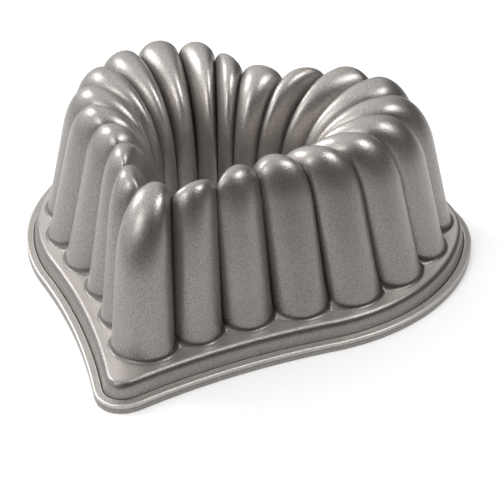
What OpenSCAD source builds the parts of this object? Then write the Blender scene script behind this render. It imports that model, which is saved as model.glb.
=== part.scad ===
// Heart-shaped fluted tube pan, cast in one piece, standing upside down on its rim.
// Millimetres, +Z up. The origin is the middle of the rim, on the flat face that it rests on.
// The heart's tip points to -Y and its cleft to +Y.

/* [Rim outline] */
// Width across both lobes
rim_w = 259.6; // [252:0.2:270]
// Distance from the widest place down to the centre of the tip's arc
rim_tip_drop = 167.2; // [160:0.2:175]
// Radius of the tip
rim_tip_r = 14.9; // [12:0.1:20]
// Radius of the hollow flank between the tip and the side
rim_flank_r = 382; // [340:1:460]
// Radius of the side, at the widest place
rim_side_r = 122.8; // [118:0.2:126]
// Angle that the side's arc turns above the widest place
rim_side_turn = 12; // [8:0.5:16]
// Radius of the lobe above the side
rim_lobe_r = 68; // [64:0.5:72]
// Radius of the hollow cleft between the lobes
rim_cleft_r = 40; // [34:0.5:50]

/* [Rim section] */
// Height of the rim's outer edge
edge_h = 4.8; // [4:0.1:6]
// Rounding of the outer edge
edge_r = 0.6; // [0.3:0.1:0.9]
// Width of the narrow ledge behind the edge
ledge_w = 4.2; // [3.4:0.1:5]
// Depth of the gutter between the ledge and the step
gutter_h = 0.8; // [0.5:0.1:1.2]
// Rise of the ledge from the edge to its inner side
ledge_rise = 0.6; // [0.2:0.1:1]
// Height of the plateau that the flutes stand on
plateau_h = 14; // [12.5:0.1:16]
// Width of the rounding between the step and the plateau
plateau_r = 3.6; // [3:0.1:4]
// Height of the same rounding
plateau_drop = 5; // [4:0.1:6]
// How far the step leans in on its way up
step_lean = 1.2; // [0.8:0.1:1.5]
// Width of the flat face under the rim
seat_w = 8; // [7:0.1:9]

/* [Foot of the flutes] */
// How far the valleys' foot is set in from the rim at the lobes
foot_in = 24; // [23.4:0.1:26]
// How far it is set in at the tip
foot_in_tip = 36.2; // [34:0.1:39]
// Radius of the foot line's tip
foot_tip_r = 9.3; // [7.5:0.1:11]
// Radius of the foot line's hollow flank
foot_flank_r = 215; // [190:5:280]
// Depth of a flute at its foot
flute_depth = 11.8; // [10:0.1:12.4]
// Radius of the fillet around each flute's foot
foot_fillet = 2.6; // [1.6:0.1:3]
// How far the plateau rises into the valleys
valley_rise = 4.8; // [3:0.1:7]
// How far the plateau fills the valleys' ends, as a share of the flutes' depth
valley_fill = 0.5; // [0.4:0.05:0.7]

/* [Crown line] */
// How far the crown line is set in from the rim at the widest place
crown_in = 50; // [47:0.1:52]
// How far it is set in at the tip
crown_in_tip = 59.5; // [57:0.1:62]
// How far its widest place lies towards the tip from the rim's
crown_widest_y = 11.4; // [9:0.1:14]
// Radius of the crown line's tip
crown_tip_r = 25.3; // [22:0.1:28]
// Radius of its hollow flank
crown_flank_r = 116; // [90:1:160]
// Radius of its side
crown_side_r = 75.7; // [73:0.1:79]
// Angle that its side turns above the widest place
crown_side_turn = 22.8; // [20:0.1:26]
// Radius of its lobes
crown_lobe_r = 29.6; // [27:0.1:32]
// Radius of its cleft
crown_cleft_r = 48; // [40:0.1:56]

/* [Flutes] */
// Flutes on each side, between the one on the tip and the one in the cleft
side_flutes = 10; // [8:1:12]
// Height of the flutes' crowns
crown_h = 97.9; // [94:0.1:102]
// Height of the valleys between them
valley_h = 91.1; // [88:0.1:92]
// Extra width of the tip flute at its foot, as a share of one flute
tip_extra_foot = 0.33; // [0.1:0.01:0.5]
// Extra width of the tip flute at its crown, as a share of one flute
tip_extra_crown = -0.3; // [-0.5:0.02:0]
// Half the angle that a flute's rounded section turns, from its crest to a valley
flute_half_angle = 80; // [72:1:84]
// How much closer the flutes stand at the tip and the cleft, at their feet
bunch_foot = 0.08; // [0:0.01:0.2]
// The same at their crowns
bunch_crown = -0.03; // [-0.1:0.01:0.1]

/* [Outer wall] */
// Height of the rounded shoulder over a flute
shoulder = 46.5; // [42:0.5:50]
// Height of the same shoulder over the tip flute
tip_shoulder = 38; // [34:0.5:42]
// Number of flutes over which the crown changes next to the tip
tip_spread = 4; // [2:0.5:6]
// Lean of a flute below its shoulder
lean = 14; // [11:0.5:16]
// Height of the rounded shoulder over a valley
valley_shoulder = 46.5; // [40:0.5:52]
// Lean of a valley below its shoulder
valley_lean = 11; // [7:0.5:13]

/* [Centre tube] */
// Distance of the tube's axis from the rim's widest place, towards the tip
tube_y = 42; // [38:0.5:46]
// Size of the tube's mouth at its flutes, as a share of the crown line
tube_share = 0.5; // [0.46:0.01:0.54]
// The same towards the tip
tube_tip_share = 0.75; // [0.68:0.01:0.78]
// Depth of the tube's flutes, as a share of the crown line
tube_flute_share = 0.035; // [0.02:0.005:0.05]
// Height of the tube's lower edge above the rim's face
tube_end_h = 6; // [3:0.5:10]
// Height of the rounded shoulder inside, over a flute
tube_shoulder = 44; // [38:0.5:50]
// Lean of the tube's flutes below that shoulder
tube_lean = 2.5; // [1:0.5:5]
// Height of the rounded shoulder inside, over a valley
tube_valley_shoulder = 70; // [60:0.5:76]

/* [Casting] */
// Thickness of the wall
wall = 3.5; // [2.8:0.1:3.8]
// How much thicker the wall is under a valley's sharp bottom
valley_web = 1.5; // [1.3:0.05:1.7]

/* [Hidden] */
// Steps across one flute and across the tip flute
flute_steps = 6;
tip_steps = 14;
// How closely the tip flute's steps crowd at its crest, and how fast the rim's follow them, in mm
tip_crowding = 1.7;
tip_pull = 110;
// Steps up a leaning wall and over a shoulder, outside and on the batter side
wall_steps = [2, 1];
shoulder_steps = [6, 4];
flutes = 2 * side_flutes + 2;

// Direction of a vector, in degrees, and the same between 0 and 360
function heading(v) = atan2(v[1], v[0]);
function full_heading(v) = heading(v) < 0 ? heading(v) + 360 : heading(v);

// Centre of a circle that lies from_a away from a and from_b away from b, right of the line a to b
function touching(a, from_a, b, from_b) =
    let (
        gap = norm(b - a),
        dir = (b - a) / gap,
        run = (gap * gap + from_a * from_a - from_b * from_b) / (2 * gap)
    )
    a + dir * run + [dir[1], -dir[0]] * sqrt(from_a * from_a - run * run);

// The right half of a heart, from its tip to its cleft, as five arcs that touch.
// An arc is [centre, radius, first angle, last angle, 1 if it bulges outwards or -1].
function heart(half_w, widest_y, side_r, side_turn, lobe_r, tip_r, tip_y, flank_r, cleft_r) =
    let (
        tip = [0, tip_y],
        side = [half_w - side_r, widest_y],
        lobe = side + (side_r - lobe_r) * [cos(side_turn), sin(side_turn)],
        flank = touching(tip, flank_r + tip_r, side, flank_r + side_r),
        cleft = [0, lobe[1] + sqrt(pow(cleft_r + lobe_r, 2) - pow(lobe[0], 2))]
    )
    [
        [tip, tip_r, -90, heading(flank - tip), 1],
        [flank, flank_r, full_heading(tip - flank), full_heading(side - flank), -1],
        [side, side_r, heading(flank - side), side_turn, 1],
        [lobe, lobe_r, side_turn, heading(cleft - lobe), 1],
        [cleft, cleft_r, heading(lobe - cleft), -90, -1]
    ];

function arc_len(arc) = arc[1] * abs(arc[3] - arc[2]) * PI / 180;
function arc_point(arc, share, in) =
    let (angle = arc[2] + (arc[3] - arc[2]) * share)
    arc[0] + (arc[1] - arc[4] * in) * [cos(angle), sin(angle)];
function total_len(arcs, k = 0) = k == len(arcs) ? 0 : arc_len(arcs[k]) + total_len(arcs, k + 1);

// Point at a length along the arcs, set in by a distance
function point_along(arcs, length, in, k = 0) =
    length <= arc_len(arcs[k]) || k == len(arcs) - 1
    ? arc_point(arcs[k], min(1, length / arc_len(arcs[k])), in)
    : point_along(arcs, length - arc_len(arcs[k]), in, k + 1);

// Share of the half outline at which a place lies. Places count flutes from the tip.
function share_at(place, extra, bunch) =
    let (
        count = abs(place),
        run = count < 0.5 ? count * (1 + extra) : count + 0.5 * extra,
        share = run / (flutes / 2 + 0.5 * extra)
    )
    share - bunch * sin(360 * share) / (2 * PI);

// Point of a heart at a place, which is negative on the left
function place_on(arcs, place, extra, bunch, in = 0) =
    let (p = point_along(arcs, share_at(place, extra, bunch) * total_len(arcs), in))
    [place < 0 ? -p[0] : p[0], p[1]];

// The three lines that carry the form: the rim, the valleys' foot and the crown
rim = heart(rim_w / 2, 0, rim_side_r, rim_side_turn, rim_lobe_r, rim_tip_r, -rim_tip_drop,
    rim_flank_r, rim_cleft_r);
foot = heart(rim_w / 2 - foot_in, 0, rim_side_r - foot_in, rim_side_turn, rim_lobe_r - foot_in,
    foot_tip_r, foot_in_tip + foot_tip_r - rim_tip_drop - rim_tip_r, foot_flank_r,
    rim_cleft_r + foot_in);
crown = heart(rim_w / 2 - crown_in, -crown_widest_y, crown_side_r, crown_side_turn, crown_lobe_r,
    crown_tip_r, crown_in_tip + crown_tip_r - rim_tip_drop - rim_tip_r, crown_flank_r,
    crown_cleft_r);
tube_axis = [0, -tube_y];

// Middle of the rim from its tip to the tops of its lobes
middle_y = (rim[3][0][1] + rim_lobe_r - rim_tip_drop - rim_tip_r) / 2;

// A column is [flute, place across it from -1 to 1], valley to valley, all round the pan
columns = [
    for (flute = [0:flutes - 1])
    let (
        steps = flute == 0 ? tip_steps : flute_steps,
        power = flute == 0 ? tip_crowding : 1
    )
    for (step = [0:steps - 1])
    let (even = 2 * step / steps - 1)
    [flute, sign(even) * pow(abs(even), power)]
];
function wrapped(place) = place > flutes / 2 ? place - flutes : place;
function even_place(column) = wrapped(column[0] + column[1] / 2);

// A flute's section is an arc of an ellipse, and bulge is its height, from 0 at a valley to 1. The
// batter side narrows each flute by its wall, but for the valley between two flutes.
flute_pitch = 2 * total_len(foot) / flutes;
function bulge(across) =
    (cos(flute_half_angle * across) - cos(flute_half_angle)) / (1 - cos(flute_half_angle));
function flute_place(flute, across, behind) =
    let (
        narrow = abs(across) < 1 ? 1 - 2 * behind / flute_pitch : 1,
        side = sin(flute_half_angle * across) / sin(flute_half_angle)
    )
    wrapped(flute + side * narrow / 2);

// A value between a valley's and a crest's, for a place across a flute
function between(valley, crest, across) = valley + (crest - valley) * bulge(across);

// A value that changes smoothly from the tip flute's to the common one
function near_tip(place, common, at_tip) =
    common + (at_tip - common) * (1 + cos(180 * min(1, abs(place) / tip_spread))) / 2;

// Profile of a wall from its foot, rise 0, to the crown line, rise 1, as [distance, height]:
// a leaning line up to rise 0.5 and an elliptical shoulder above it. Where the foot is near the
// crown line, the wall leans less, so that the shoulder keeps its room.
function profile(rise, reach, low, high, shoulder, lean) =
    let (
        slope = min(tan(lean), 0.75 * reach / (high - low)),
        brow = reach - (high - shoulder - low) * slope,
        half = sqrt(brow * brow - pow(shoulder * slope, 2)),
        first = atan2(shoulder * slope, half),
        angle = first + (90 - first) * max(0, 2 * rise - 1),
        top = [half * cos(angle), high - shoulder + shoulder * sin(angle)]
    )
    rise < 0.5 ? [reach, low] + (top - [reach, low]) * 2 * rise : top;

// Point at a distance from the crown line towards a target
function towards(from, target, at) = concat(from + (target - from) / norm(target - from) * at[0], at[1]);

function crown_point(place) = place_on(crown, place, tip_extra_crown, bunch_crown);
function foot_point(place, in) = place_on(foot, place, tip_extra_foot, bunch_foot, in);
function foot_low(across) = between(plateau_h + valley_rise, plateau_h, across);

// Outer wall. The batter side is the same surface, one wall's thickness behind it, and more than
// that behind the sharp valley between two flutes.
function outer_wall(flute, across, rise, behind = 0) =
    let (
        place = flute_place(flute, across, behind),
        web = behind * valley_web,
        from = crown_point(place),
        target = foot_point(place, between(web, behind - flute_depth, across)),
        reach = norm(target - from),
        low = foot_low(across) - behind,
        valley = profile(rise, reach, low, valley_h - web, valley_shoulder - web, valley_lean),
        brow = near_tip(place, shoulder, tip_shoulder) - behind,
        crest = profile(rise, reach, low, crown_h - behind, brow, lean)
    )
    towards(from, target, between(valley, crest, across));

// Wall of the centre tube, in the same way
function tube_wall(flute, across, rise, behind = 0) =
    let (
        place = flute_place(flute, across, behind),
        web = behind * valley_web,
        from = crown_point(place),
        span = norm(tube_axis - from),
        share = near_tip(place, tube_share, tube_tip_share),
        valley = profile(rise, span * (1 - share - tube_flute_share) - web, tube_end_h,
            valley_h - web, tube_valley_shoulder - web, tube_lean),
        crest = profile(rise, span * (1 - share) - behind, tube_end_h, crown_h - behind,
            tube_shoulder - behind, tube_lean)
    )
    towards(from, tube_axis, between(valley, crest, across));

// How far the plateau's edge stands out around a flute's foot. It fills the valley's end.
function edge_out(across, fill) = flute_depth * (fill + (1 - fill) * pow(bulge(across), 2));

// The foot's fillet, from the plateau at angle 0 up into the wall at angle 90
function fillet_point(flute, across, angle) =
    let (
        share = 1 - cos(angle),
        edge = edge_out(across, valley_fill),
        out = edge + (flute_depth * bulge(across) - edge) * share + foot_fillet * (1 - sin(angle)),
        height = plateau_h + (foot_low(across) - plateau_h + foot_fillet) * share
    )
    concat(foot_point(flute_place(flute, across, 0), -out), height);

// The same edge on the batter side, where the wall meets the plateau
function batter_edge(flute, across) =
    let (out = edge_out(across, valley_fill - wall / flute_depth))
    concat(foot_point(flute_place(flute, across, wall), wall - out), plateau_h - wall);

// Rows of the rim as [set in, height], outside and inside
rim_outside = [
    [0, 0],
    [0, edge_h - edge_r],
    [edge_r, edge_h],
    [ledge_w - edge_r, edge_h + ledge_rise],
    [ledge_w, edge_h + ledge_rise - gutter_h],
    for (angle = [0:30:90])
        [
            ledge_w + step_lean + plateau_r * (1 - cos(angle)),
            plateau_h - plateau_drop * (1 - sin(angle))
        ]
];
rim_inside = [
    [ledge_w + step_lean + plateau_r + wall * 0.4, plateau_h - wall],
    [seat_w + step_lean, plateau_h - wall - plateau_r],
    [seat_w, 0]
];
// Length from the tip at which the arcs come nearest to a point on the right, as [distance, length]
function swing(angle, middle) = middle + ((angle - middle) % 360 + 540) % 360 - 180;
function nearest_length(arcs, p, k = 0, before = 0) =
    k == len(arcs) ? [1e9, before] :
    let (
        arc = arcs[k],
        turned = swing(heading(p - arc[0]), (arc[2] + arc[3]) / 2),
        angle = max(min(arc[2], arc[3]), min(max(arc[2], arc[3]), turned)),
        gap = norm(p - arc[0] - arc[1] * [cos(angle), sin(angle)]),
        here = [gap, before + arc[1] * abs(angle - arc[2]) * PI / 180],
        rest = nearest_length(arcs, p, k + 1, before + arc_len(arc))
    )
    here[0] <= rest[0] ? here : rest;

// The rim's columns lie opposite the flutes' feet. Those of the tip flute also go round the tip.
function rim_length(column) =
    let (
        across = abs(column[1]),
        edge = fillet_point(0, across, 0),
        opposite = foot_point(abs(even_place(column)), 0)
    )
    column[0] == 0
    ? min(nearest_length(rim, [edge[0], edge[1]])[1], tip_pull * across)
    : nearest_length(rim, opposite)[1];
rim_lengths = [for (c = columns) rim_length(c)];
function rim_row(row) = [
    for (k = [0:len(columns) - 1])
    let (p = point_along(rim, rim_lengths[k], row[0]))
    [even_place(columns[k]) < 0 ? -p[0] : p[0], p[1], row[1]]
];

// Rises of the rows from just above a wall's foot to the crown, and from below the crown down
function rises(side) = [
    for (k = [1:wall_steps[side]]) 0.5 * k / wall_steps[side],
    for (k = [1:shoulder_steps[side]]) 0.5 + 0.5 * k / shoulder_steps[side]
];
function falls(side) = [for (k = [len(rises(side)) - 2:-1:0]) rises(side)[k]];

// All rows in order: up outside, down into the tube, and back under the crown to the rim
rows = concat(
    [for (row = rim_outside) rim_row(row)],
    [for (angle = [0, 45, 90]) [for (c = columns) fillet_point(c[0], c[1], angle)]],
    [for (rise = rises(0)) [for (c = columns) outer_wall(c[0], c[1], rise)]],
    [for (rise = concat(falls(0), 0)) [for (c = columns) tube_wall(c[0], c[1], rise)]],
    [for (rise = concat(0, rises(1))) [for (c = columns) tube_wall(c[0], c[1], rise, wall)]],
    [for (rise = falls(1)) [for (c = columns) outer_wall(c[0], c[1], rise, wall)]],
    [[for (c = columns) batter_edge(c[0], c[1])]],
    [for (row = rim_inside) rim_row(row)]
);

// A closed skin over rows that join end to end and columns that go all round
module skin(rows) {
    high = len(rows);
    round = len(rows[0]);
    points = [for (row = rows) for (p = row) p];
    faces = [
        for (r = [0:high - 1], c = [0:round - 1])
        let (
            next_r = (r + 1) % high,
            next_c = (c + 1) % round,
            a = r * round + c,
            b = r * round + next_c,
            d = next_r * round + c,
            e = next_r * round + next_c
        )
        each [[a, e, b], [a, d, e]]
    ];
    polyhedron(points, faces);
}

module pan() {
    color([0.56, 0.54, 0.52]) translate([0, -middle_y, 0]) skin(rows);
}

pan();
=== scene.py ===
"""Looks of a cast aluminium heart tube pan that stands upside down on a pale surface."""
import math

import bmesh
import bpy
import numpy as np
from mathutils import Matrix, Vector


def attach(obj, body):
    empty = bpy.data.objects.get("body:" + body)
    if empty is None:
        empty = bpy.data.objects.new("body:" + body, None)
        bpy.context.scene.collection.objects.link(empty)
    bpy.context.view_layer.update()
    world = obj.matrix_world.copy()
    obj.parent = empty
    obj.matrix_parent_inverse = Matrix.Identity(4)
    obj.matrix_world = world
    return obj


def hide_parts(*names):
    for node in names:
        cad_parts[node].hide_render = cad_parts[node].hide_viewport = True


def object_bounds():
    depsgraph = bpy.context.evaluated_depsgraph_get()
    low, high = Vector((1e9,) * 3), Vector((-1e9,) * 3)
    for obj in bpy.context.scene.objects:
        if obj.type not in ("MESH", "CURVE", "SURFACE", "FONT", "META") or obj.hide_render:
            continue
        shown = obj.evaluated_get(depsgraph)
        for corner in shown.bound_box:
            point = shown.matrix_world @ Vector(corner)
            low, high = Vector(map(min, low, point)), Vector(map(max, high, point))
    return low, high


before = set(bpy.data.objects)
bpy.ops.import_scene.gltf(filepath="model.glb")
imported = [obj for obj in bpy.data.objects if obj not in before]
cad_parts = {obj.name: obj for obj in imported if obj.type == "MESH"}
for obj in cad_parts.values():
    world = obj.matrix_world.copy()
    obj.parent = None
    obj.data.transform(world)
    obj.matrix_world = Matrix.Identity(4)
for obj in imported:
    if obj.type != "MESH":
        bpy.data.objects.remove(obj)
CAD_BOX = [list(corner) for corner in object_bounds()]
MM_PER_M = 1000

# Camera, from the photograph: view direction, distance, focal length and image centre
IMAGE_W = 500
AZIMUTH, ELEVATION, ROLL = 21.98, 31.64, -0.37
DISTANCE_MM, FOCAL_PX = 880.98, 1500
CENTRE_X_PX, CENTRE_Y_PX = -1.62, -8.65
SENSOR_MM = 36.0
CLIP_NEAR, CLIP_FAR = 0.01, 50

# Metal: its colour, and its share of mirror against flat scatter
METAL, METAL_SHARE = (0.290, 0.271, 0.256), 0.84
# Grain and clouds: how many a metre and their detail, what they do to colour and roughness, and the
# grain's relief in metres
GRAIN_PER_M, GRAIN_DETAIL, CLOUDS_PER_M, CLOUD_DETAIL = 1500, 2, 45, 3
NOISE_SPAN, GRAIN_SWING, ROUGHNESS = (0.3, 0.7), (0.72, 1.28), (0.34, 0.39)
GRAIN_RELIEF = 0.0001

# Room: where it is bright, how softly it fades, and its dark and bright levels
WORLD_BRIGHT_WAY = (-0.68, 0.10, 0.72)
WORLD_EDGE = (0.00, 0.85)
WORLD_LEVELS = (0.04, 1.35)

# Floor: pale round the pan, and greyer away from it, where a light of its own keeps it pale to look at.
# Metal mirrors that light in part.
FLOOR_SIDE, FLOOR_UNDER, FLOOR_ROUGHNESS = 6, 0.0002, 0.9
FLOOR_MIDDLE, FLOOR_FADE = (-0.05, 0.15, 0.0), (0.36, 0.62)
FLOOR_PALE, FLOOR_GREY = 0.80, 0.15
FLOOR_GLOW, FLOOR_MIRRORED = (0.10, 1.0), 0.3

# Softboxes: name, azimuth, elevation, side in metres and watts, all at one distance from the pan's middle
SOFTBOX_AWAY, SOFTBOX_TARGET = 1.2, (0, 0, 0.05)
SOFTBOXES = [
    ("left softbox", -98, 38, 0.40, 6.0),
    ("right softbox", 102, 53, 0.35, 6.0),
    ("front softbox", -20, 42, 0.35, 3.0),
]

# Sizes of the casting in millimetres, as in the CAD model but for VALLEY_H, TIP_LEAN, the shoulder at the
# tip and TUBE_FLUTE_SHARE, which follow the photograph more closely here
RIM = dict(half_w=129.8, widest_y=0.0, side_r=122.8, side_turn=12.0, lobe_r=68.0,
           tip_r=14.9, tip_y=-167.2, flank_r=382.0, cleft_r=40.0)
RIM_TIP = RIM["tip_y"] - RIM["tip_r"]
FOOT_IN, FOOT_IN_TIP, FOOT_TIP_R, FOOT_FLANK_R = 24.0, 36.2, 9.3, 215.0
CROWN_IN, CROWN_IN_TIP = 50.0, 59.5
CROWN = dict(half_w=RIM["half_w"] - CROWN_IN, widest_y=-11.4, side_r=75.7, side_turn=22.8, lobe_r=29.6,
             tip_r=25.3, tip_y=RIM_TIP + CROWN_IN_TIP + 25.3, flank_r=116.0, cleft_r=48.0)
FOOT = dict(half_w=RIM["half_w"] - FOOT_IN, widest_y=0.0, side_r=RIM["side_r"] - FOOT_IN,
            side_turn=RIM["side_turn"], lobe_r=RIM["lobe_r"] - FOOT_IN, tip_r=FOOT_TIP_R,
            tip_y=RIM_TIP + FOOT_IN_TIP + FOOT_TIP_R, flank_r=FOOT_FLANK_R,
            cleft_r=RIM["cleft_r"] + FOOT_IN)
EDGE_H, EDGE_R, LEDGE_W, LEDGE_RISE, GUTTER_H = 4.8, 0.6, 4.2, 0.6, 0.8
GUTTER_IN, STEP_FOOT_IN, STEP_FOOT_RISE = 0.2, 0.5, 0.6
SEAM_H, SEAM_W = 2.2, 0.35
PLATEAU_H, PLATEAU_R, PLATEAU_DROP, STEP_LEAN = 14.0, 3.6, 5.0, 1.2
SEAT_W, RIM_WEB_SHARE = 8.0, 0.4
FLUTE_DEPTH, FOOT_FILLET, VALLEY_RISE, VALLEY_FILL = 11.8, 2.6, 4.8, 0.5
SIDE_FLUTES, CROWN_H, VALLEY_H, HALF_ANGLE = 10, 97.9, 89.0, math.radians(80.0)
TIP_EXTRA_FOOT, TIP_EXTRA_CROWN, BUNCH_FOOT, BUNCH_CROWN = 0.33, -0.3, 0.08, -0.03
TIP_SPREAD, TIP_CROWDING, TIP_PULL = 4.0, 1.7, 110.0
SHOULDER, LEAN, TIP_LEAN, LEAN_LIMIT = 46.5, 14.0, 6.0, 0.75
VALLEY_SHOULDER, VALLEY_LEAN = 46.5, 11.0
TUBE_Y, TUBE_SHARE, TUBE_TIP_SHARE, TUBE_FLUTE_SHARE, TUBE_END_H = 42.0, 0.5, 0.75, 0.04, 6.0
TUBE_SHOULDER, TUBE_LEAN, TUBE_VALLEY_SHOULDER = 44.0, 2.5, 70.0
WALL, VALLEY_WEB = 3.5, 1.5
FLUTES = 2 * SIDE_FLUTES + 2

# Steps of the fine mesh, and the angle in degrees from which an edge is a crease. More columns at the tip
# than these fold over each other on the rim.
FLUTE_COLUMNS, TIP_COLUMNS = 18, 26
EDGE_STEPS, ROLL_STEPS, FILLET_STEPS, WALL_STEPS, SHOULDER_STEPS = 3, 10, 5, 5, 18
CREASE = 38

# Painted light and shade on the metal, and a dark seam line: how much lighter or darker than the walls.
# Painted highlights on the rim's rounded edges, painted shade in the gutter, the flutes' foot fillets and
# the plateau's roll, painted light on the plateau and inside the tube
EDGE_HIGHLIGHT_TONE, SEAM_AND_SHADE_TONE, ROLL_SHADE_TONE, PLATEAU_LIGHT_TONE, TUBE_LIGHT_TONE = 1.9, 0.5, 0.62, 1.4, 1.6


def heading(v):
    return math.atan2(v[1], v[0])


def heart(half_w, widest_y, side_r, side_turn, lobe_r, tip_r, tip_y, flank_r, cleft_r):
    """The right half of a heart, tip to cleft, as five arcs that touch: centre, radius, angles, sign."""
    turn = math.radians(side_turn)
    tip = np.array([0.0, tip_y])
    side = np.array([half_w - side_r, widest_y])
    lobe = side + (side_r - lobe_r) * np.array([math.cos(turn), math.sin(turn)])
    gap = np.linalg.norm(side - tip)
    along = (side - tip) / gap
    near, far = flank_r + tip_r, flank_r + side_r
    run = (gap * gap + near * near - far * far) / (2 * gap)
    flank = tip + along * run + np.array([along[1], -along[0]]) * math.sqrt(near * near - run * run)
    cleft = np.array([0.0, lobe[1] + math.sqrt((cleft_r + lobe_r) ** 2 - lobe[0] ** 2)])
    full = 2 * math.pi
    return [(tip, tip_r, -math.pi / 2, heading(flank - tip), 1),
            (flank, flank_r, heading(tip - flank) % full, heading(side - flank) % full, -1),
            (side, side_r, heading(flank - side), turn, 1),
            (lobe, lobe_r, turn, heading(cleft - lobe), 1),
            (cleft, cleft_r, heading(lobe - cleft), -math.pi / 2, -1)]


def arc_length(arc):
    return arc[1] * abs(arc[3] - arc[2])


def total_length(arcs):
    return sum(arc_length(arc) for arc in arcs)


def share_at(place, extra, bunch):
    """Share of the half outline at places counted in flutes from the tip."""
    count = np.abs(place)
    run = np.where(count < 0.5, count * (1 + extra), count + 0.5 * extra)
    share = run / (FLUTES / 2 + 0.5 * extra)
    return share - bunch * np.sin(2 * math.pi * share) / (2 * math.pi)


def point_along(arcs, length, inset):
    """Points of the right half at lengths from the tip, set in by a distance."""
    lengths = np.array([arc_length(arc) for arc in arcs])
    ends = np.cumsum(lengths)
    starts = ends - lengths
    ends[-1] += 1e-6  # The last point isn't lost to rounding
    points = np.zeros((len(length), 2))
    inset = np.broadcast_to(inset, length.shape)
    for k, (centre, radius, first, last, sign) in enumerate(arcs):
        here = (length >= starts[k]) & (length <= ends[k])
        angle = first + (last - first) * np.clip((length[here] - starts[k]) / lengths[k], 0, 1)
        arm = radius - sign * inset[here]
        points[here] = centre + arm[:, None] * np.column_stack([np.cos(angle), np.sin(angle)])
    return points


def place_on(arcs, place, extra, bunch, inset=0.0):
    """Points of a heart at places, negative on the left."""
    points = point_along(arcs, share_at(place, extra, bunch) * total_length(arcs), inset)
    points[:, 0] *= np.where(place < 0, -1, 1)
    return points


RIM_ARCS, FOOT_ARCS, CROWN_ARCS = heart(**RIM), heart(**FOOT), heart(**CROWN)
MIDDLE_Y = (RIM_ARCS[3][0][1] + RIM["lobe_r"] + RIM_TIP) / 2
PITCH = 2 * total_length(FOOT_ARCS) / FLUTES


def wrapped(place):
    return np.where(place > FLUTES / 2, place - FLUTES, place)


def columns():
    """Flute number and place across it from -1 to 1, valley to valley, all round the pan."""
    cols = []
    for flute in range(FLUTES):
        count, power = (TIP_COLUMNS, TIP_CROWDING) if flute == 0 else (FLUTE_COLUMNS, 1)
        even = [2 * step / count - 1 for step in range(count)]
        cols += [(flute, math.copysign(abs(value) ** power, value)) for value in even]
    return np.array(cols, dtype=float)


def bulge(across):
    """Height of a flute's section, an ellipse's arc, from 0 in the valleys to 1 on the crest."""
    edge = math.cos(HALF_ANGLE)
    return (np.cos(HALF_ANGLE * across) - edge) / (1 - edge)


def near_tip(place, common, at_tip):
    """A value that goes from the tip's own to the common one over a few flutes."""
    share = np.minimum(1, np.abs(place) / TIP_SPREAD)
    return common + (at_tip - common) * (1 + np.cos(math.pi * share)) / 2


def between(valley, crest, across):
    return valley + (crest - valley) * bulge(across)


def flute_place(cols, behind=0.0):
    """Places of columns, where flutes are narrower behind the skin."""
    narrow = np.where(np.abs(cols[:, 1]) < 1, 1 - 2 * behind / PITCH, 1)
    side = np.sin(HALF_ANGLE * cols[:, 1]) / math.sin(HALF_ANGLE)
    return wrapped(cols[:, 0] + side * narrow / 2)


def profile(rise, reach, low, high, shoulder, lean):
    """Distance and height on a wall: a leaning line to rise 0.5, then an elliptical shoulder."""
    slope = np.minimum(np.tan(np.radians(lean)), LEAN_LIMIT * reach / (high - low))
    brow = reach - (high - shoulder - low) * slope
    half = np.sqrt(brow ** 2 - (shoulder * slope) ** 2)
    first = np.arctan2(shoulder * slope, half)
    angle = first + (math.pi / 2 - first) * max(0.0, 2 * rise - 1)
    far, top = half * np.cos(angle), high - shoulder + shoulder * np.sin(angle)
    if rise < 0.5:
        return reach + (far - reach) * 2 * rise, low + (top - low) * 2 * rise
    return far, top


def towards(start, target, far, height):
    way = target - start
    way = way / np.linalg.norm(way, axis=1)[:, None]
    return np.column_stack([start + way * far[:, None], height])


def crown_point(place):
    return place_on(CROWN_ARCS, place, TIP_EXTRA_CROWN, BUNCH_CROWN)


def foot_point(place, inset):
    return place_on(FOOT_ARCS, place, TIP_EXTRA_FOOT, BUNCH_FOOT, inset)


def foot_low(across):
    """Height at which the wall starts, above the plateau in the valleys."""
    return between(PLATEAU_H + VALLEY_RISE, PLATEAU_H, across)


def blend(valley, crest, across):
    return between(valley[0], crest[0], across), between(valley[1], crest[1], across)


def outer_wall(cols, rise, behind=0.0):
    """Row of the outer wall between its foot, rise 0, and the crown line, rise 1."""
    across, web = cols[:, 1], behind * VALLEY_WEB
    place = flute_place(cols, behind)
    start = crown_point(place)
    target = foot_point(place, between(web, behind - FLUTE_DEPTH, across))
    reach = np.linalg.norm(target - start, axis=1)
    low = foot_low(across) - behind
    valley = profile(rise, reach, low, VALLEY_H - web, VALLEY_SHOULDER - web, VALLEY_LEAN)
    crest = profile(rise, reach, low, CROWN_H - behind, SHOULDER - behind,
                    near_tip(place, LEAN, TIP_LEAN))
    return towards(start, target, *blend(valley, crest, across))


def tube_wall(cols, rise, behind=0.0):
    """Row of the centre tube between its lower end, rise 0, and the crown line, rise 1."""
    across, web = cols[:, 1], behind * VALLEY_WEB
    place = flute_place(cols, behind)
    start = crown_point(place)
    share = near_tip(place, TUBE_SHARE, TUBE_TIP_SHARE)
    axis = np.broadcast_to(np.array([0.0, -TUBE_Y]), start.shape)
    span = np.linalg.norm(axis - start, axis=1)
    valley = profile(rise, span * (1 - share - TUBE_FLUTE_SHARE) - web, TUBE_END_H,
                     VALLEY_H - web, TUBE_VALLEY_SHOULDER - web, TUBE_LEAN)
    crest = profile(rise, span * (1 - share) - behind, TUBE_END_H, CROWN_H - behind,
                    TUBE_SHOULDER - behind, TUBE_LEAN)
    return towards(start, axis, *blend(valley, crest, across))


def edge_out(across, fill):
    """How far the flutes' foot stands out, with the valleys' ends filled in part."""
    return FLUTE_DEPTH * (fill + (1 - fill) * bulge(across) ** 2)


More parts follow.
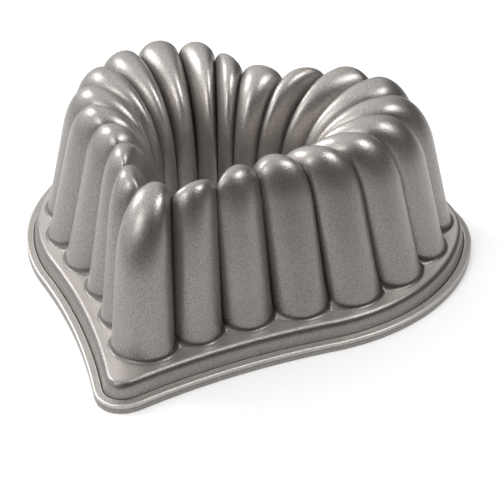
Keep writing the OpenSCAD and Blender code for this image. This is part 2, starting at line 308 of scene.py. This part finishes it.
def fillet_row(cols, angle):
    """Row of the fillet at the flutes' feet, from the plateau, angle 0, to the wall."""
    across, share = cols[:, 1], 1 - math.cos(angle)
    edge = edge_out(across, VALLEY_FILL)
    out = edge + (FLUTE_DEPTH * bulge(across) - edge) * share + FOOT_FILLET * (1 - math.sin(angle))
    height = PLATEAU_H + (foot_low(across) - PLATEAU_H + FOOT_FILLET) * share
    return np.column_stack([foot_point(flute_place(cols), -out), height])


def batter_edge(cols):
    """Row where the batter side's wall meets the underside of the plateau."""
    edge = edge_out(cols[:, 1], VALLEY_FILL - WALL / FLUTE_DEPTH)
    points = foot_point(flute_place(cols, WALL), WALL - edge)
    return np.column_stack([points, np.full(len(cols), PLATEAU_H - WALL)])


def nearest_length(arcs, points):
    """Lengths from the tip at which the arcs come nearest to points on the right."""
    best, found, before = np.full(len(points), np.inf), np.zeros(len(points)), 0.0
    for centre, radius, first, last, sign in arcs:
        way = points - centre
        middle = (first + last) / 2
        turned = np.arctan2(way[:, 1], way[:, 0]) - middle
        turned = middle + (turned + math.pi) % (2 * math.pi) - math.pi
        angle = np.clip(turned, min(first, last), max(first, last))
        gap = np.linalg.norm(way - radius * np.column_stack([np.cos(angle), np.sin(angle)]), axis=1)
        closer = gap < best
        best[closer] = gap[closer]
        found[closer] = before + radius * np.abs(angle[closer] - first)
        before += radius * abs(last - first)
    return found


def rim_row(cols, inset, height):
    """Row of the rim at an inset from its outline, each point nearest to its flute's foot."""
    place = wrapped(cols[:, 0] + cols[:, 1] / 2)
    length = nearest_length(RIM_ARCS, foot_point(np.abs(place), 0.0))
    edge = fillet_row(np.abs(cols), 0.0)[:, :2]
    on_tip = np.minimum(nearest_length(RIM_ARCS, edge), TIP_PULL * np.abs(cols[:, 1]))
    points = point_along(RIM_ARCS, np.where(cols[:, 0] == 0, on_tip, length), inset)
    points[:, 0] *= np.where(place < 0, -1, 1)
    return np.column_stack([points, np.full(len(cols), height)])


def rim_profile():
    """Rows of the rim's outside, from the outer foot to the plateau: inset, height and a colour factor that
    paints highlights, light and shade and the dark seam line.
    """
    ledge_top = EDGE_H + LEDGE_RISE
    slope = SEAM_W * LEDGE_RISE / LEDGE_W
    quarter = np.linspace(0, math.pi / 2, EDGE_STEPS + 1)
    made = [(0, 0, 1), (0, SEAM_H - SEAM_W, 1), (0, SEAM_H, SEAM_AND_SHADE_TONE), (0, SEAM_H + SEAM_W, 1)]
    # Painted highlights along the rim's two rounded edges: the outer edge here, and the ledge's inner edge
    # below
    made += [(EDGE_R * (1 - math.cos(angle)), EDGE_H - EDGE_R * (1 - math.sin(angle)), EDGE_HIGHLIGHT_TONE)
             for angle in quarter]
    made += [(EDGE_R + SEAM_W, EDGE_H + slope, 1), (LEDGE_W - EDGE_R - SEAM_W, ledge_top - slope, 1)]
    made += [(LEDGE_W - EDGE_R * (1 - math.sin(angle)), ledge_top - EDGE_R * (1 - math.cos(angle)),
              EDGE_HIGHLIGHT_TONE) for angle in quarter]
    # Painted shade in the gutter at the step's foot
    made += [(LEDGE_W + GUTTER_IN, ledge_top - GUTTER_H, SEAM_AND_SHADE_TONE),
             (LEDGE_W + STEP_FOOT_IN, ledge_top + STEP_FOOT_RISE, 1)]
    # The roll up to the plateau: painted shade from the step's top to its middle, then painted light rising
    # to the plateau's
    for angle in np.linspace(0, math.pi / 2, ROLL_STEPS + 1):
        turned = 2 * angle / math.pi
        dark, pale = min(1.0, 2 * turned), max(0.0, 3 * turned - 2)
        made.append((LEDGE_W + STEP_LEAN + PLATEAU_R * (1 - math.cos(angle)),
                     PLATEAU_H - PLATEAU_DROP * (1 - math.sin(angle)),
                     1 + (ROLL_SHADE_TONE - 1) * dark + (PLATEAU_LIGHT_TONE - ROLL_SHADE_TONE) * pale))
    return made


def all_rows(cols):
    """Rows of points all over the skin, outside first, and for each row a colour factor of painted light
    and shade, 1 where none is painted.
    """
    rises = [0.5 * (k + 1) / WALL_STEPS for k in range(WALL_STEPS)]
    rises += [0.5 + 0.5 * (k + 1) / SHOULDER_STEPS for k in range(SHOULDER_STEPS)]
    falls = rises[-2::-1]
    rim_inside = [(LEDGE_W + STEP_LEAN + PLATEAU_R + WALL * RIM_WEB_SHARE, PLATEAU_H - WALL),
                  (SEAT_W + STEP_LEAN, PLATEAU_H - WALL - PLATEAU_R), (SEAT_W, 0)]
    rows, painted_lights_and_seam = [], []
    for inset, height, painted_light_and_seam in rim_profile():
        rows.append(rim_row(cols, inset, height))
        painted_lights_and_seam.append(painted_light_and_seam)
    # The fillet at the flutes' feet: painted light on the plateau where it starts, painted shade over the
    # fillet itself
    for step in range(FILLET_STEPS + 1):
        rows.append(fillet_row(cols, math.pi / 2 * step / FILLET_STEPS))
        painted_lights_and_seam.append(PLATEAU_LIGHT_TONE if step == 0 else SEAM_AND_SHADE_TONE if step < FILLET_STEPS else 1)
    for rise in rises:
        rows.append(outer_wall(cols, rise))
        painted_lights_and_seam.append(1)
    # Painted light inside the tube, full on its lower half and fading out towards the crown line
    for rise in falls + [0]:
        rows.append(tube_wall(cols, rise))
        painted_lights_and_seam.append(TUBE_LIGHT_TONE + (1 - TUBE_LIGHT_TONE) * max(0.0, 2 * rise - 1))
    rows += [tube_wall(cols, rise, WALL) for rise in [0] + rises]
    rows += [outer_wall(cols, rise, WALL) for rise in falls]
    rows += [batter_edge(cols)]
    rows += [rim_row(cols, *at) for at in rim_inside]
    return np.array(rows), np.array(painted_lights_and_seam + [1] * (len(rows) - len(painted_lights_and_seam)), dtype=float)


def way_out(azimuth, elevation):
    """Direction away from the pan, at an azimuth from the front and an elevation in degrees."""
    turn, rise = math.radians(azimuth), math.radians(elevation)
    return Vector((math.sin(turn) * math.cos(rise), -math.cos(turn) * math.cos(rise), math.sin(rise)))


def make_camera():
    turn, back = math.radians(AZIMUTH), way_out(AZIMUTH, ELEVATION)
    right = Vector((math.cos(turn), math.sin(turn), 0))
    axes = Matrix((right, back.cross(right), back)).transposed()
    axes = axes @ Matrix.Rotation(-math.radians(ROLL), 3, "Z").inverted()
    data = bpy.data.cameras.new("camera")
    data.sensor_width = SENSOR_MM
    data.lens = FOCAL_PX * SENSOR_MM / IMAGE_W
    data.shift_x = -CENTRE_X_PX / IMAGE_W
    data.shift_y = CENTRE_Y_PX / IMAGE_W
    data.clip_start, data.clip_end = CLIP_NEAR, CLIP_FAR
    camera = bpy.data.objects.new("camera", data)
    target = Vector((0, -MIDDLE_Y / MM_PER_M, 0))
    camera.matrix_world = Matrix.Translation(target + back * DISTANCE_MM / MM_PER_M) @ axes.to_4x4()
    bpy.context.scene.collection.objects.link(camera)
    bpy.context.scene.camera = camera


def cast_skin(name, rows, painted_lights_and_seam):
    """A closed mesh over rows that join end to end and columns that go all round, with a colour factor a
    row for painted light and shade.
    """
    high, around = rows.shape[:2]
    points = rows.reshape(-1, 3) - np.array([0, MIDDLE_Y, 0])
    # More columns catch the heart's widest points, a hair outside the CAD model's chords
    points[:, :2] *= np.minimum(1, np.array(CAD_BOX[1][:2]) * MM_PER_M / points[:, :2].max(axis=0))
    here = np.arange(around)
    there = (here + 1) % around
    faces = []
    for row in range(high):
        low, top = row * around, (row + 1) % high * around
        faces.append(np.column_stack([low + here, low + there, top + there, top + here]))
    mesh = bpy.data.meshes.new(name)
    mesh.from_pydata((points / MM_PER_M).tolist(), [], np.vstack(faces).tolist())
    mesh.validate()
    mesh.shade_smooth()
    # The rows' painted light and shade, and the dark seam line, as a point attribute
    mesh.attributes.new("painted_light_and_seam", "FLOAT", "POINT").data.foreach_set("value", np.repeat(painted_lights_and_seam, around))
    piece = bpy.data.objects.new(name, mesh)
    bpy.context.scene.collection.objects.link(piece)
    return piece


def sharpen(piece, angle):
    """Marks the creases: valleys between flutes, and the rim's corners."""
    form = bmesh.new()
    form.from_mesh(piece.data)
    for edge in form.edges:
        if edge.calc_face_angle(0) > angle:
            edge.smooth = False
    form.to_mesh(piece.data)
    form.free()


def noise(tree, place, scale, detail):
    made = tree.nodes.new("ShaderNodeTexNoise")
    made.inputs["Scale"].default_value = scale
    made.inputs["Detail"].default_value = detail
    tree.links.new(place, made.inputs["Vector"])
    return made.outputs["Fac"]


def ranged(tree, value, span, levels, soft=False):
    """A value brought from a span to levels, evenly or with soft ends."""
    made = tree.nodes.new("ShaderNodeMapRange")
    made.interpolation_type = "SMOOTHSTEP" if soft else "LINEAR"
    for name, number in zip(("From Min", "From Max", "To Min", "To Max"), (*span, *levels)):
        made.inputs[name].default_value = number
    tree.links.new(value, made.inputs["Value"])
    return made.outputs["Result"]


def joined(tree, operation, first, second):
    made = tree.nodes.new("ShaderNodeMath")
    made.operation = operation
    tree.links.new(first, made.inputs[0])
    tree.links.new(second, made.inputs[1])
    return made.outputs["Value"]


def vector_node(tree, operation, vector, constant):
    """A vector operation on a socket and a constant vector."""
    made = tree.nodes.new("ShaderNodeVectorMath")
    made.operation = operation
    tree.links.new(vector, made.inputs[0])
    made.inputs[1].default_value = constant
    return made.outputs["Value"]


def principled(name):
    material = bpy.data.materials.new(name)
    material.use_nodes = True
    return material, material.node_tree, material.node_tree.nodes["Principled BSDF"]


def cast_aluminium():
    """Grey metal with a fine grain, lighter and darker by the rows' painted light and shade and the dark
    seam line.
    """
    material, tree, shader = principled("cast_aluminium")
    shader.inputs["Metallic"].default_value = METAL_SHARE
    place = tree.nodes.new("ShaderNodeTexCoord").outputs["Object"]
    grain = noise(tree, place, GRAIN_PER_M, GRAIN_DETAIL)
    cloud = noise(tree, place, CLOUDS_PER_M, CLOUD_DETAIL)
    # Painted light and shade from the rows, with the dark seam line, scale the grain's colour
    painted_light_and_seam = tree.nodes.new("ShaderNodeAttribute")
    painted_light_and_seam.attribute_name = "painted_light_and_seam"
    shade = joined(tree, "MULTIPLY", ranged(tree, grain, NOISE_SPAN, GRAIN_SWING), painted_light_and_seam.outputs["Fac"])
    colour = tree.nodes.new("ShaderNodeVectorMath")
    colour.operation = "SCALE"
    colour.inputs[0].default_value = METAL
    tree.links.new(shade, colour.inputs["Scale"])
    tree.links.new(colour.outputs["Vector"], shader.inputs["Base Color"])
    tree.links.new(ranged(tree, cloud, NOISE_SPAN, ROUGHNESS), shader.inputs["Roughness"])

    bump = tree.nodes.new("ShaderNodeBump")
    bump.inputs["Strength"].default_value = 1.0
    bump.inputs["Distance"].default_value = GRAIN_RELIEF
    tree.links.new(grain, bump.inputs["Height"])
    tree.links.new(bump.outputs["Normal"], shader.inputs["Normal"])
    return material


def make_floor():
    """Floor that is palest round the pan, and glows for the camera and, in part, for mirrors."""
    bpy.ops.mesh.primitive_plane_add(size=FLOOR_SIDE, location=(0, 0, -FLOOR_UNDER))
    floor = bpy.context.object
    floor.name = "floor"
    material, tree, shader = principled("floor")
    shader.inputs["Roughness"].default_value = FLOOR_ROUGHNESS
    shader.inputs["Specular IOR Level"].default_value = 0.0
    shader.inputs["Emission Color"].default_value = (FLOOR_PALE, FLOOR_PALE, FLOOR_PALE, 1)
    place = tree.nodes.new("ShaderNodeTexCoord").outputs["Object"]
    away = vector_node(tree, "DISTANCE", place, FLOOR_MIDDLE)
    level = ranged(tree, away, FLOOR_FADE, (FLOOR_PALE, FLOOR_GREY), soft=True)
    tree.links.new(level, shader.inputs["Base Color"])

    glow = ranged(tree, level, (FLOOR_PALE, FLOOR_GREY), FLOOR_GLOW)
    rays = tree.nodes.new("ShaderNodeLightPath").outputs
    mirrored = ranged(tree, rays["Is Glossy Ray"], (0, 1), (0, FLOOR_MIRRORED))
    seen = joined(tree, "MAXIMUM", rays["Is Camera Ray"], mirrored)
    tree.links.new(joined(tree, "MULTIPLY", seen, glow), shader.inputs["Emission Strength"])
    floor.data.materials.append(material)


def softbox(name, azimuth, elevation, side, watts):
    data = bpy.data.lights.new(name, "AREA")
    data.shape = "RECTANGLE"
    data.size, data.size_y = side, side
    data.energy = watts
    lamp = bpy.data.objects.new(name, data)
    place = way_out(azimuth, elevation) * SOFTBOX_AWAY
    aim = (Vector(SOFTBOX_TARGET) - place).to_track_quat("-Z", "Y")
    lamp.matrix_world = Matrix.Translation(place) @ aim.to_matrix().to_4x4()
    bpy.context.scene.collection.objects.link(lamp)


def studio_world():
    """Room that is bright above, behind and on the left, and dark in front on the right."""
    world = bpy.data.worlds.new("studio")
    world.use_nodes = True
    tree = world.node_tree
    way = tree.nodes.new("ShaderNodeTexCoord").outputs["Generated"]
    facing = vector_node(tree, "DOT_PRODUCT", way, Vector(WORLD_BRIGHT_WAY).normalized())
    background = tree.nodes["Background"]
    background.inputs["Color"].default_value = (1, 1, 1, 1)
    tree.links.new(ranged(tree, facing, WORLD_EDGE, WORLD_LEVELS, soft=True), background.inputs["Strength"])
    bpy.context.scene.world = world


make_camera()
pan = cast_skin("heart_pan", *all_rows(columns()))
sharpen(pan, math.radians(CREASE))
pan.data.materials.append(cast_aluminium())
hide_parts("pan")
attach(pan, "root")
make_floor()
studio_world()
for each in SOFTBOXES:
    softbox(*each)
bpy.context.scene.view_settings.view_transform = "Standard"
